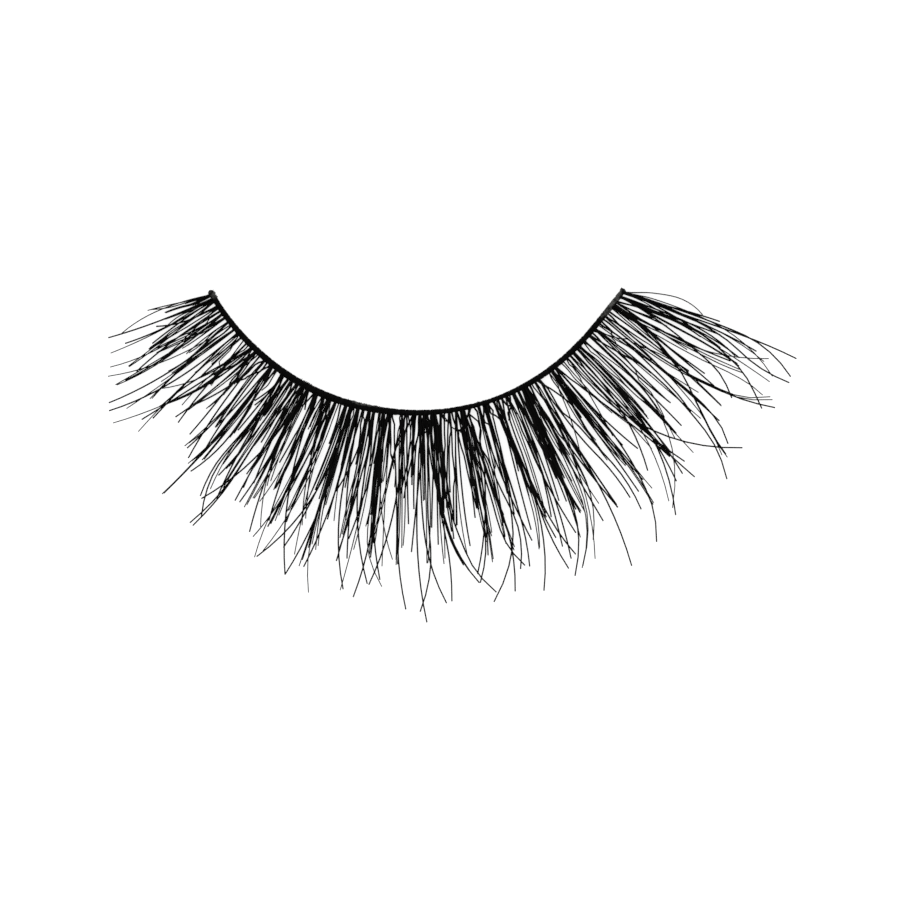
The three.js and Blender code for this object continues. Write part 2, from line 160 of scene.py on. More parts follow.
# Plain hairs. Columns: root, waist at half the reach, tip (thousandths of the band's length),
# reach in mm, and how many hairs lie together (under 1 is one fine hair)
hairChart = [
    (6, -12.5, -8.5, 6.3, .6), (7, -7, -20.5, 4.1, 1.5), (11, 3, -5, 3.15, 1.5), (14, 2.5, -11.5, 7.25, 1),
    (14.5, 9, 3.5, 3.4, 2), (18, 15, 16, 3.5, 1.5), (18, 21, 26.5, 4.9, 1), (19, 16.5, 6.3, 6.45, 1),
    (20, 16.5, 8, 7.6, .6), (23, 31, 36, 7.05, 1.5), (25, 28.5, 30.5, 5.2, 1.5), (30, 25.5, 7, 4.1, 1),
    (33, 33.5, 31, 5.3, 1.5), (36, 39.5, 23.5, 8.1, .6), (40, 40.5, 47.5, 6.8, 1), (41, 49.5, 54, 5, 1.5),
    (44, 42, 40, 3.2, 1), (48, 51, 51, 3, 1.5), (52, 55, 49, 7.75, 1), (54, 45, 36, 5, 1.5),
    (56, 54.5, 47, 8.45, 1.5), (59.5, 60.5, 59.5, 3.45, 1.5), (60, 52, 42, 5, 1.5),
    (68, 70, 70.5, 3.45, 1.5), (70, 78, 74.5, 5.1, 1.5), (78, 62, 32, 8.55, .6), (81, 76.5, 60, 9.5, 1),
    (86, 84, 79.5, 5.9, .6), (86, 82.5, 89, 7.2, 2), (88, 84.5, 80, 5, 1.5), (88, 85, 79, 8.8, .6),
    (96, 103.5, 110.5, 7.9, 1), (98, 91.5, 68, 9.8, 1), (100, 122, 134.5, 3.6, .6),
    (104, 104, 110.5, 9.2, .6), (104.5, 104.5, 101.5, 3.8, .6), (107, 107, 106.5, 2.5, .6),
    (109, 111, 112.5, 3.6, 1), (110, 110, 109.5, 2.6, .6), (118, 125.5, 130, 3.6, .6),
    (123.5, 128.5, 132, 3.6, 1), (125, 129, 138, 6.9, 1), (128, 122, 124.5, 5.9, .6),
    (130, 118.5, 87, 6.2, .6), (139, 118, 102, 8.5, 1), (140, 131, 121, 5.2, 1.5),
    (142, 114, 105.5, 6.9, 1), (143, 130.5, 104.5, 7, 1), (143, 153, 159, 3.5, 1), (148, 138.5, 125, 3, 1),
    (148, 141.5, 130, 6.75, 1), (149, 157.5, 160.5, 6.95, 1), (150, 118.5, 82.5, 10.1, .6),
    (150, 158.5, 154, 4.95, 1.5), (153.5, 146, 135, 5.9, 2), (162, 167.5, 179.5, 8.2, 1),
    (162.5, 162, 161.5, 2.5, 2), (171.5, 175.5, 182, 5.45, 2), (172, 157.5, 136.5, 5.3, 1),
    (172.5, 176.5, 166.5, 7.75, 2), (173.5, 176.5, 170, 7.75, 1), (180, 182.5, 190, 7.2, 1),
    (188, 194.5, 190, 7.8, 1.5), (190, 172, 157.5, 2.6, 1), (190, 187.5, 181.5, 5.5, 1),
    (190, 195.5, 184.5, 8.5, 2), (194, 204, 207.5, 5.65, 3), (195, 192.5, 183, 11.15, 1.5),
    (199.5, 199.5, 196, 7.75, 2), (208, 205.5, 203, 1.8, 1.5), (216, 229, 229, 7.3, 2),
    (220.5, 215.5, 211, 4.75, 1), (223.5, 218.5, 209.5, 2.75, 1), (224.5, 216.5, 205, 2.5, 1),
    (226, 228.5, 238.5, 9.3, 1), (226, 230, 232, 3.4, 2), (227, 223.5, 221, 7.15, 1),
    (229, 227, 222, 6.2, 1.5), (230, 231, 229, 3.2, 2), (232, 232.5, 233, 3, 1.5),
    (234, 229.5, 226, 3.6, 2), (238, 238, 237, 3.4, 1), (240, 235.5, 224.5, 7.95, 1),
    (241.5, 239.5, 237.5, 8.65, 2), (246, 250, 250.5, 4.6, 1), (255.5, 257.5, 260.5, 7.8, 1.5),
    (256, 262, 270, 7.2, 1), (262, 251, 244, 5, 1), (262, 263, 259, 6.5, 1.5), (263.5, 261, 255.5, 6.9, 1),
    (264, 259.5, 259.5, 8.8, 1), (268, 275.5, 302.5, 9.6, .6), (270.5, 278.5, 288.5, 6.95, 2),
    (272.5, 278.5, 293, 10.2, 1), (273.5, 273, 274.5, 8.9, 2), (275, 258.5, 223, 9.85, 1),
    (277, 273.5, 265.5, 8.75, 1), (277, 275.5, 274.5, 6.8, 1.5), (282, 283, 279, 8.1, 2),
    (295, 298, 288, 8.1, .6), (295, 293, 289, 5.2, 1), (297, 315, 349.5, 11.95, 1), (300, 300, 309, 9, 1),
    (300.5, 300.5, 299, 7, 2), (303, 303, 299.5, 6.9, 2), (308, 308.5, 309, 2.4, 1.5),
    (314, 315.5, 317, 8.85, 2), (316.5, 315.5, 310.5, 9.4, 1), (317, 316, 312.5, 9.15, 1),
    (320, 331, 351, 8.5, 2), (325, 319.5, 300, 10.4, 2), (330, 340.5, 352.5, 10.5, .6),
    (334, 326, 318.5, 7, 1), (335, 333, 329.5, 8.8, 1.5), (337, 334, 326.5, 8, 2),
    (342, 337, 316.5, 11, .6), (350, 351, 350, 2.8, 1), (357, 352.5, 346.5, 7.2, 1.5),
    (359, 357, 352, 6, 1), (362, 361.5, 361, 6.5, 1), (362.5, 366, 376, 9.8, 2),
    (364, 356.5, 337.5, 10.3, 1), (365.5, 365.5, 367.5, 9.8, 3), (366, 355.5, 312.5, 11.5, 1),
    (366, 364.5, 362.5, 11.15, 2), (370, 367.5, 349.5, 11.95, 1), (373, 372.5, 371.5, 7, 2),
    (374, 379, 388.5, 7.65, .6), (381, 380.5, 379.5, 7.65, 1), (382, 380.5, 367, 11.1, 1),
    (386, 392, 403.5, 7.4, 1), (392.5, 390.5, 416.5, 11.95, 1), (396, 396, 396, 1.2, 1.5),
    (400, 403.5, 414.5, 9.9, 1), (404, 412.5, 442.5, 11.35, 1), (405, 398, 381, 5.7, 1),
    (406.5, 405.5, 402.5, 8.65, 3), (410.5, 408.5, 402.5, 10.2, 1), (412, 417, 420.5, 7.4, 1),
    (414, 416.5, 419.5, 7, 2), (416, 412, 403, 9.4, 1), (422.5, 426, 420.5, 9.25, .6),
    (425, 421.5, 413.5, 12.05, .6), (428, 424.5, 412, 8.6, 1), (430.5, 435.5, 456.5, 11, 1),
    (431, 434.5, 432, 7.6, 2), (433, 435, 436, 6.8, 1.5), (436, 441, 444, 8.9, 3),
    (437, 437.5, 441.5, 9.4, 1.5), (438, 441.5, 442.5, 9.6, 1), (441, 443.5, 469.5, 9.6, .6),
    (441, 452, 463, 3.6, 2), (445, 455, 466, 4.8, 2), (447, 448, 450, 3.4, 1.5),
    (448, 452.5, 457.5, 10.1, .6), (449, 447.5, 446.5, 4.6, 2), (452, 468, 474, 9.6, 1),
    (467, 473, 475, 9.95, 2), (470, 477.5, 481, 8.8, 2), (473, 455.5, 442, 8.6, 2),
    (474, 468.5, 444.5, 11.4, 1), (479, 483.5, 488, 7.2, 1), (486, 487, 483.5, 3.4, 1.5),
    (490, 474, 462, 2.3, 2), (491.5, 492, 491.5, 3, 2), (496.5, 492.5, 491.5, 4.6, 1),
    (500, 486, 475, 5.2, 1), (503, 495.5, 495, 6.2, 1), (503.5, 504, 505, 3, 1),
    (509, 509.5, 508, 3.5, 1), (510, 499, 510, 13.7, 1), (512, 491, 480, 5.5, 1),
    (513, 509, 509.5, 5.65, 2), (514, 501.5, 492.5, 9.05, 1), (518, 514.5, 512, 9.8, 1.5),
    (523, 518, 515.5, 5, 1), (531, 533, 536, 6.8, 2), (534, 521, 504, 2, 1), (536, 525, 519, 7.45, 1),
    (536, 530, 526.5, 8.6, 1), (536, 536.5, 535, 6.6, 2), (536, 539.5, 545, 7.8, 1),
    (538, 543.5, 549.5, 6.9, 1), (540, 535, 533, 9.9, 2), (541, 538.5, 534, 7.2, 2),
    (541, 544.5, 547, 8.3, 1), (545, 541, 537, 6.5, 1), (546, 562, 590, 1.6, 1.5),
    (553, 545, 539.5, 5.6, 1), (560, 549, 541, 6.2, 1), (566, 556.5, 549.5, 7.2, 1),
    (566, 553.5, 548.5, 5.2, 1), (570, 577, 583, 6.5, 1), (574, 560.5, 561.5, 9.5, .6),
    (575, 561, 552.5, 7.5, 2), (577, 567, 566.5, 8.9, 1), (578, 586, 592, 2.4, 1),
    (580, 583, 585, 6.6, 1.5), (583, 586, 588, 8.8, 1.5), (584, 583.5, 584.5, 5, 1),
    (588, 583, 578.5, 7.1, 1), (588, 592, 593.5, 6, 1), (588, 591, 594.5, 5, 1),
    (590, 608.5, 611.5, 9.2, 1.5), (592, 595, 600, 4.2, 1.5), (592, 594.5, 596, 8.5, 1.5),
    (596, 588, 583, 3, 2), (597, 610.5, 619.5, 9.75, 2), (598, 606, 617, 7.3, 1), (600, 588, 574, 1.5, 1),
    (604, 597, 591, 10.2, 2), (606, 598, 586.5, 9.7, 1), (615, 600, 570.5, 10.8, 1),
    (618, 628.5, 643, 9.45, 1), (618, 624, 632, 1.3, 1), (622, 617.5, 613, 8, 1.5),
    (624, 622.5, 622.5, 4.2, 2), (631, 632, 630, 6, 1.5), (632, 637, 638.5, 6.8, 1),
    (634, 626, 619, 1.4, 1), (634.5, 632.5, 634, 5.2, 1), (638, 648, 660, 1.5, 1), (640, 633, 629, 4.6, 1),
    (645, 638, 631, 7.45, 1), (652, 660, 671.5, 9.8, 1), (652, 657, 661.5, 6.4, 1.5),
    (654, 660, 666, 4.6, 1), (660, 660, 659, 6.2, 1.5), (660, 665, 669.5, 8.3, 1),
    (662, 651.5, 646, 8.75, 1), (665, 662, 657.5, 6.6, 1), (667, 676, 686, 1.2, 1),
    (668, 660.5, 655, 4.8, 1), (677.5, 676, 669.5, 8.2, 2), (682, 685, 695.5, 10, 1),
    (685, 686.5, 687, 5.6, 1.5), (686, 677, 668, 1.4, 1), (697, 703, 711.5, 8.95, 2),
    (697, 704, 710, 5.4, 1), (700, 690, 675.5, 8.4, 1), (700, 702, 701.5, 6.2, 1),
    (704, 703.5, 706, 6.8, 1), (707, 708, 710.5, 8.9, 1), (708, 707.5, 707, 7.2, 1),
    (712, 706, 701, 7.85, 1), (712, 702, 692.5, 7.6, 1), (712, 711, 708, 7.4, 1),
    (712, 708.5, 707.5, 8.6, 1), (714, 720, 724, 5, .6), (716, 714, 712, 6.4, 1),
    (716.5, 716, 717, 9.05, 2), (718, 712, 699, 10.4, 2), (720, 717.5, 719, 6.8, 1),
    (722, 727, 730.5, 10.1, 1), (722, 716, 706, 6, 1), (724, 729.5, 734, 5.2, 1),
    (727, 740, 753.5, 9.8, 1), (727, 720, 713, 5.2, .6), (729, 731, 736, 8.95, .6), (732, 729, 728, 7.2, 1),
    (740, 744, 747, 7.6, 1), (741, 734, 703, 12.1, .6), (741, 748.5, 734, 13.6, 1),
    (741, 748, 753.5, 9.8, 1.5), (749, 773.5, 779, 3.5, 1), (752, 748.5, 745.5, 6.3, 1),
    (752, 745, 730, 7, .6), (779, 765.5, 747, 5.6, .6), (779, 776, 776.5, 5.5, 2),
    (782, 785, 784.5, 9.7, 1), (782, 786, 790, 7.2, 2), (785, 777, 775.5, 6.8, 2),
    (786, 791.5, 798, 9.25, 2), (786, 786, 791, 7.8, 2), (787, 793, 790, 10.95, 2),
    (788, 791, 796.5, 8.7, 1), (788, 788, 789, 6, 1), (789, 794.5, 799.5, 10.05, .6),
    (794, 825.5, 840, 9.2, 1), (795.5, 803.5, 816.5, 7.4, 1), (796, 799, 803.5, 6.6, 1),
    (805, 813.5, 821, 4.5, .6), (813, 818, 830, 6, .6), (822, 811, 800.5, 5.7, .6), (822, 840, 904, 12.3, 1),
    (823.5, 827.5, 833, 4.2, .6), (829, 830, 830, 8, .6), (830, 834.5, 849, 10.1, 1),
    (832, 838, 840.5, 9, .6), (836.5, 838, 845, 11.3, 1), (840.5, 841.5, 840, 9, 1),
    (843, 835, 808.5, 8.95, 1), (848, 840, 805.5, 11.4, .6), (848, 844.5, 842, 9, .6),
    (852, 846.5, 826.5, 10.7, 1), (853, 850.5, 844.5, 9.1, 1), (857, 858.5, 856, 6, 1.5),
    (858, 852, 837.5, 10.6, 1), (858.5, 857.5, 854.5, 6.4, 1.5), (860, 865.5, 865.5, 8.3, 1.5),
    (867, 867, 863.5, 10.1, .6), (871.5, 872, 866, 8.4, 1), (873, 870, 866, 8.1, 1),
    (884, 882, 877.5, 8.3, 1), (886, 881.5, 860, 8.6, .6), (889, 897.5, 906, 3.6, 1),
    (892, 889, 890.5, 6.75, 1), (897, 937.5, 951.5, 6.4, .6), (901, 904.5, 905, 4.5, .6),
    (902, 894.5, 890, 6.5, 1), (904, 917, 924.5, 4, .6), (904.5, 902, 900, 8.95, .6),
    (905, 893.5, 870.5, 7.1, .8), (914, 921.5, 932.5, 7.75, .6), (920.5, 922.5, 915.5, 10, 1),
    (922, 916, 898.5, 8.15, 1), (927, 917, 905, 1.6, .8), (935, 921, 883.5, 11.6, .8),
    (937, 945.5, 953.5, 6.35, .6), (940, 944.5, 951.5, 5.2, .6), (949, 951, 952.5, 4.6, 1),
    (955, 985, 1008, 9.25, 1.5), (957, 952.5, 939.5, 9.5, 1.5), (960, 981, 996, 6.2, 1.5),
    (962, 988, 1010.5, 8.15, 1), (963, 964.5, 967.5, 7.3, 1), (966.5, 965.5, 962.5, 6.3, 1.5),
    (967, 965, 960, 8.3, 1), (967, 960, 945, 5.6, 1), (970, 991.5, 1039.5, 10.15, .6),
    (970, 984, 995, 3.4, 1), (971, 981, 992.5, 2.4, 1), (972, 977, 983, 5.4, .8),
    (975, 1005, 1013.5, 5.6, 1), (980, 1010.5, 1017, 7.1, 1), (982, 1005, 1012.5, 8.8, 1.5),
    (984, 1012.5, 1031.5, 6.6, 1), (985, 1019, 1019.5, 8.2, 1), (985, 1015, 1020.5, 8.5, 1),
    (995, 1027, 1047, 6.1, 1), (998, 1028, 1039, 9.2, 1), (1000, 1031, 1033.5, 10, .8),
    (1001, 1014, 1017.5, 11.05, .8), (1001, 1040, 1024.5, 11, .8),
    (3, 1, -2, 1.6, 1), (262, 266, 270, 1.2, 1), (270, 266, 262, 1.1, 1), (280, 284, 289, 1.3, 1),
    (290, 286, 281, 1.2, 1), (296, 299, 303, 1, 1),
    (4, 1, -3, 1.7, 2), (8, 6, 3, 1.5, 2), (12, 10, 8, 1.3, 2), (16, 15, 13, 1.1, 2),
]

# Hairs with a bend of their own. Columns: root, a share and how far out it is passed, a second such
# pair, tip, reach, and how many lie together
bentChart = [
    (198, 204.1, 2.85, 205.5, 5.8, 192.5, 8.8, 1), (219, 221, 3.2, 213.8, 8, 220, 9.75, 1),
    (222.5, 220.8, 2.9, 218.8, 5.9, 225.5, 9, .6), (232, 222, 4, 218.5, 8.3, 235, 10.9, 1),
    (250, 243.8, 3.8, 239, 8.8, 227.5, 11.6, 1), (254, 244.5, 3.8, 240.5, 9, 232, 11.65, 1),
    (318, 312.5, 5.5, 307.5, 9.8, 310.5, 11.6, .8), (362, 364.5, 6, 370, 10.7, 380, 12.65, .8),
    (428, 433, 5.5, 441, 9.6, 459.5, 11.45, .6), (437, 440, 5, 437.5, 9.3, 429, 12.35, 1),
    (472, 472.3, 4.5, 476.5, 9.5, 487.5, 12.85, 1), (508, 506.5, 6.2, 511, 8.6, 532, 12.5, 1),
    (514, 535.5, 6.4, 549.5, 9.1, 561.5, 10.5, 1), (521, 514.5, 6.5, 516, 10, 503, 13, 1),
    (522, 530.5, 5.5, 539.5, 10.2, 538, 12.4, 1), (523, 535.5, 6.4, 552, 9.5, 571, 11.4, 1),
    (528, 534, 6.2, 543.5, 8.5, 555.5, 10.1, 1), (530, 554.5, 8.2, 570, 10.7, 588, 12.2, 1),
    (590, 588, 6, 585.5, 9.2, 572, 11.4, 1), (596, 605, 5.5, 616.5, 9.9, 626.5, 10.9, 1),
    (600, 620, 5, 631, 8.6, 620.5, 11.05, 1), (607, 614, 5.5, 616, 10, 608.5, 12.4, 1),
    (630, 638, 6.5, 636.5, 9, 631.5, 11.05, 1), (636, 631, 6, 616.5, 9.7, 583.5, 12.8, 1),
    (650, 659, 9, 650.5, 11, 639, 12.85, 1), (661, 668, 6, 678, 9.8, 685.5, 11.3, 1),
    (662, 660, 5, 656.5, 8, 648.5, 10.15, 1.5), (678, 668, 5, 665.5, 9, 672.5, 12, 1),
    (692, 686, 6, 679, 9, 675, 10.5, 1), (695, 690, 6.5, 685.5, 9, 679, 11.45, 1),
    (715, 709.5, 6.4, 700, 9.8, 676, 12.6, 1), (728, 723, 6.4, 717, 9, 687, 12.3, 2),
    (744, 739, 5, 732, 8.1, 711, 10.9, 2), (752, 771, 4.8, 779.5, 8.3, 775, 10.75, 1),
    (752, 762.5, 5, 770, 7, 772, 9.7, 1), (791, 795, 9.3, 787.5, 11, 769, 13.1, 1),
    (848, 835, 8.4, 823.5, 10, 802, 12.4, 1), (865, 867.5, 7, 845.5, 9.2, 804, 11.9, .8),
    (904.5, 896.5, 8.5, 886.5, 10.8, 868, 12.9, 1), (929, 925, 5, 913, 9.9, 897.5, 11.4, 1),
    (938, 955, 7.9, 975, 10.3, 1003.5, 11.9, 1.5), (941, 955, 7.9, 973, 10.4, 996, 12.35, 1),
    (956, 981.5, 6, 1001.5, 10, 1000.5, 11.2, .6), (966, 943, 6, 901.5, 9.2, 886.5, 11.95, 2),
    (985, 992, 5.5, 982.5, 8.3, 962.5, 9.7, 1), (996, 1036, 5.5, 1049.5, 8.6, 1056, 11.7, 1),
    (998, 1041, 5.8, 1049, 9, 1035.5, 12, 1), (1000, 1030, 1.5, 1045, 3, 1042, 4.9, .6),
    (1000, 1013.5, 7.8, 1005.5, 9.7, 980.5, 11.7, 1), (1001, 1031, 6.8, 1024.5, 9.8, 1029, 12.15, 1),
]

# White openings between the hairs. Columns: share (thousandths), how far out (mm), half width
# (thousandths), half height (mm)
openingChart = [
    (16.5, 1.1, 1.2, .45), (22, 1.2, 1.8, .6), (27, 2.9, 1.1, .9), (35.5, 2, 1.1, .7), (38, .8, 1.2, .3),
    (45.7, .85, 1.6, .25), (46.5, 2.3, .9, .5), (48.5, 2, 1.1, .9), (55, 2.8, 1.6, .7),
    (65.5, 1.7, 2.3, 1.3), (79, .6, 3, .6), (104.5, .9, 2, .9), (117, 1.3, 3, 1), (129, .25, 3, .35),
    (152.5, .5, 1.6, .5), (155, 2.2, 2.2, .5), (159.5, 1, 2, 1.1), (167.5, 1.1, 2, .8), (179, .4, 3.2, .5),
    (182, 1.2, 2, .5), (203.5, 1.5, 1.2, 1.2), (215, .65, 2.6, .7), (225, 1.3, 1.5, .7),
    (241.5, .3, 1.2, .4), (245.5, 2.6, 1, .7), (246.5, .9, 1, .6), (255, .4, 1.5, .4),
    (256.5, 1.5, 1.5, .5), (260, 2.2, 1, .4), (262.7, .85, 1, .3), (264.5, 2.7, 1, .4),
    (273.5, 1.5, 1.2, .4), (276, 2.9, 1.2, .9), (280, .5, 1.2, .3), (292.5, 1.9, 1.5, 1.1),
    (300, .9, 1.2, .5), (300, 2.4, 1.5, .5), (303.5, .9, 1, .3), (303.6, 3.7, 1, .4), (309.3, 1.4, 1, .4),
    (309.3, 2.4, 1, .4), (315.7, 3.5, 1.2, .7), (330, 2, 2.5, .9), (337, .8, 1.2, .5), (340, 1.8, 2.5, 1.2),
    (346.5, 4, 2.5, 2), (355.7, .6, 1.2, .3), (363, 1.2, 2, .9), (364, 2.9, 1.5, .6), (371.5, 2.3, 1, .4),
    (374, .4, 3, .3), (381, 1, 1, .4), (386, 3.9, 1, .4), (388.6, 2.6, 1.5, .4), (397, .9, 3, .4),
    (402, 3.9, 1.2, 1.2), (407, 1.1, 2, .35), (414, 2.6, 1.8, 1), (415, .8, 1.5, .3), (423, 4.5, 1.5, 1),
    (425, .9, 1.5, .2), (428.6, 2, 2.5, 1), (438.6, 2, 1.5, .7), (444, 1.6, 2, 1), (455.7, 1.6, 2, 1.2),
    (461.5, .4, 3, .5), (463.6, 4.4, 2, 1.2), (465, 1.4, 1, .6), (467, .1, 2.5, .2), (472, 3.1, 2, .9),
    (477, .5, 3, .5), (487, 2.5, 1.5, .6), (498.5, .7, 3.5, .9), (499.3, 2.8, 2.5, .6), (503.6, 3, 2, .8),
    (505, .4, 1.5, .3), (513.6, 1.5, 1.5, .5), (515, 3.8, 1.5, 1.2), (520, .2, 2, .2),
    (520.7, 3.4, 1.5, .9), (527, 1.4, 1.3, .5), (527, 2.7, 1.5, .8), (547, 1.2, 1.8, 1.1),
    (555.7, 3.4, 3, 1.3), (560, .9, 2, .4), (565.7, .2, 2.5, .5), (575, 3.8, 3.5, 1.4), (576.4, 1.6, 2, .5),
    (604.5, 3.8, 1.5, .6), (608.5, .4, 9, .6), (609.5, 1.5, 6, 1), (611, 2.5, 3, .8), (613.6, 3.5, 1.3, .4),
    (627, .9, 1.5, .2), (627, 1.9, 1.8, .5), (635.7, .2, 2, .25), (643.6, .4, 3, .3), (644.3, 4.5, 4, 2),
    (647, 2.2, 6.5, 1.4), (660, .2, 2.5, .3), (665, 2.1, 1.5, .6), (671.4, .9, 1.2, .3), (672, 3, 2.8, 2.2),
    (678.6, .4, 2.5, .3), (681.4, 3.8, 3, 1.6), (682, 1.4, 2, .9), (691.4, 2.4, 1, .8), (694.3, 1.3, 2, .6),
    (697, 2.4, 2, 1.3), (705, 2.4, 1.3, .25), (705, 3.6, 1.3, .3), (722.9, 3.4, 1.5, 1), (734, 1, 3.5, 1.2),
    (736.5, 2.8, 3, 1.2), (744.3, .7, 2, .8), (744.3, 2.6, 1.2, .5), (752, 2.8, 2.5, 1),
    (754.3, 1.2, 1.3, .5), (757, 1, 2, .6), (762, 1.9, 5, 1.2), (767, .2, 3, .4), (776.4, .5, 2, .5),
    (788.6, 1.5, 1.5, .4), (792.9, 2.8, 1.5, .9), (794, .8, 2, .6), (805, 2.2, 4, .9), (806, .5, 4, .8),
    (817, 2.5, 1.2, .3), (817.5, .9, 1.6, .5), (821, .1, 3, .25), (822.5, 2.3, 1.5, .7),
    (833.5, .8, 2, .25), (836.5, 1.3, 1.8, .4), (843.5, 1.1, 1.5, .4), (844.5, 3.6, 2, .9),
    (846, 1.8, 2, .7), (849.5, .9, 2, .4), (854.5, 2.7, 2, .6), (864, 2, 2.3, .6), (867.5, 4.4, 2.5, 1.1),
    (868.5, .4, 4, .4), (876, 3, 2.5, 1.8), (880.5, .8, 3, .8), (886.5, 5, 2, 1.2), (888, 2, 2.5, 1.2),
    (894.5, 2.5, 2, .7), (898.5, 1.1, 1.3, .25), (906.5, 2.5, 2.3, .5), (911, .2, 3.5, .4),
    (911.5, 1.2, 1.5, .3), (912, 3.3, 3.2, .5), (924, .8, 3.2, .5), (926, .3, 4, .7), (926, 2.3, 3, .7),
    (937, 1.2, 2, 1), (944, .6, 2.5, .3), (944.5, 3.5, 2, .7), (945.5, 1.8, 1.8, .8), (955.5, 1.6, 1.5, .5),
    (956, 3.2, 1.8, .7), (956.5, .75, 2, .3), (958, 6, 2, 1.2), (965, 1.2, 1.2, .4), (967.5, 2.2, 1.8, .2),
    (973.5, 1.7, 1.5, .3), (976, 3.4, 2, .5), (985, 3, 2.5, .8),
]

# The thread that carries the hairs: two plies twisted together, lying on the floor
thread = {
    "halfHeight": 0.19,    # mm
    "middleHeight": 0.235,
    "pitch": 0.85,         # length of one full twist
    "ply": 0.12,           # how deep the groove between the plies is, as a share
    "stations": 560,
    "sides": 20,
    "leftEnd": -0.0025,
    "rightEnd": 1.0025,
    "endKnot": 0.2,        # swelling at the right end, as a share
    "endKnotSpan": 0.007,
    "endKnotShare": 0.999,  # where that swelling is greatest
}

# How the thread lies. Columns: share, how far out its middle is (mm), its half width (mm)
threadChart = [
    (0.0, -0.19, 0.19), (0.05, -0.19, 0.2), (0.15, -0.2, 0.225), (0.25, -0.15, 0.255),
    (0.35, -0.165, 0.255), (0.45, -0.215, 0.22), (0.55, -0.23, 0.18), (0.65, -0.25, 0.16),
    (0.75, -0.315, 0.205), (0.85, -0.39, 0.21), (0.95, -0.385, 0.205), (1.0, -0.37, 0.19),
]

# Where dried glue stays. Columns: share, half span, amount, and how far it covers the band's top,
# from its back edge only (0) to all of it (1)
glueChart = [
    (0.008, 0.014, 0.9, 0.9), (0.268, 0.014, 0.8, 0.1), (0.395, 0.036, 1.0, 0.15), (0.62, 0.03, 0.3, 0.3),
    (0.965, 0.045, 1.0, 1.0),
]
glueFade = {"from": -0.2, "over": 0.2, "reach": 1.6}  # how it fades forwards over the band, in mm


# How far out the thread's middle runs, and its half width: straight steps between the charted shares
def threadOut(share):
    return np.interp(share, *np.transpose(threadChart)[[0, 1]])


def threadHalfWidth(share):
    return np.interp(share, *np.transpose(threadChart)[[0, 2]])


# Stretches where short hairs cross in a tight lattice. Columns: from and to (thousandths), how many,
# longest reach in mm
latticeChart = [
    (268, 300, 3, 5.2), (300, 350, 5, 5.6), (350, 400, 6, 5.8), (400, 450, 5, 5.8), (450, 500, 4, 5),
]

hair = {
    "radius": 0.0545,      # mm, at the thickest
    "fine": 0.7,           # thickness of a fine hair, as a share
    "grouped": 0.75,       # and of hairs that lie together
    "tipTaper": 0.12,      # share of the radius lost at the tip
    "rootSwell": 0.22,     # and gained at the root, where a hair is doubled over and tied
    "rootSwellReach": 0.5,  # mm within which that fades
    "pairSpacing": 0.09,  # between hairs that lie together
    "shorter": 0.25,       # mm by which their reaches differ
    "tipsTogether": 0.6,   # how far apart their tips stay, as a share of the rest
    "lastStretch": 0.3,    # mm that a hair goes on at least past its second point
    "wander": 1.1,         # thousandths that these stray from side to side
    "rootDepth": 0.06,     # from the thread's middle out to the roots
    "upperLevels": (0.29, 0.45),
    "underLevels": (0.068, 0.21),
    "underReach": 5.6,     # hairs shorter than this lie in the under tier
    "stations": 16,
    "samples": 61,         # finer steps in which the openings are shaped
    "sides": 4,
    "rootCrowding": 1.25,  # stations stand closer near the root
    "tuftSpacing": 9.5,    # thousandths between the tufts that roots are gathered into
    "tuftPull": 0.5,       # how far a root moves towards its tuft
    "tuftReach": 0.7,      # mm within which the pull fades
    "latticeLean": 15,     # thousandths
    "firstTuft": 4,
    "tuftUneven": 0.45,    # how far a tuft is out of its row, as a share of the spacing
}


# Every hair as four shares and how far out each is passed. A plain hair is the parabola through its
# root, waist and tip, read at a third and two thirds; a bent one keeps its own two points
def hairTable():
    table = []
    for root, waist, tip, reach, together in hairChart:
        near = (2 * root + 8 * waist - tip) / 9
        far = (8 * waist + 2 * tip - root) / 9
        table.append((root, near, reach / 3, far, reach * 2 / 3, tip, reach, together))
    table += bentChart
    for start, end, count, longest in latticeChart:
        root = rng.uniform(start, end, count)
        lean = rng.uniform(-1, 1, count) * hair["latticeLean"]
        reach = longest * rng.uniform(0.45, 1, count)
        for r, l, o in zip(root, lean, reach):
            table.append((r, r + l * 0.4, o / 3, r + l * 0.75, o * 2 / 3, r + l, o, 1))
    return table


# Each charted hair becomes as many as lie together, side by side, with a little wander of their own
def spreadHairs():
    spread = []
    for root, near, nearOut, far, farOut, tip, reach, together in hairTable():
        count = max(1, math.ceil(together))
        spacing = hair["pairSpacing"] * together / count
        thickness = hair["fine"] if together < 1 else hair["grouped"] if count > 1 else 1.0
        for k in range(count):
            offset = (k - (count - 1) / 2) * spacing / band["length"] * 1000
            shorter = 0.0 if k == 0 else abs(rng.normal(0, hair["shorter"]))
            stray = rng.normal(0, hair["wander"], 3) if count > 1 else np.zeros(3)
            spread.append((root + offset + stray[0], near + offset + stray[1], nearOut,
                           far + offset + stray[2], farOut, tip + offset * hair["tipsTogether"],
                           max(reach - shorter, farOut + hair["lastStretch"]), thickness))
    return np.array(spread, float)


# The roots stand inside the thread, just in front of its middle
def rootOut(rows):
    return threadOut(rows[:, 0] / 1000) + hair["rootDepth"]


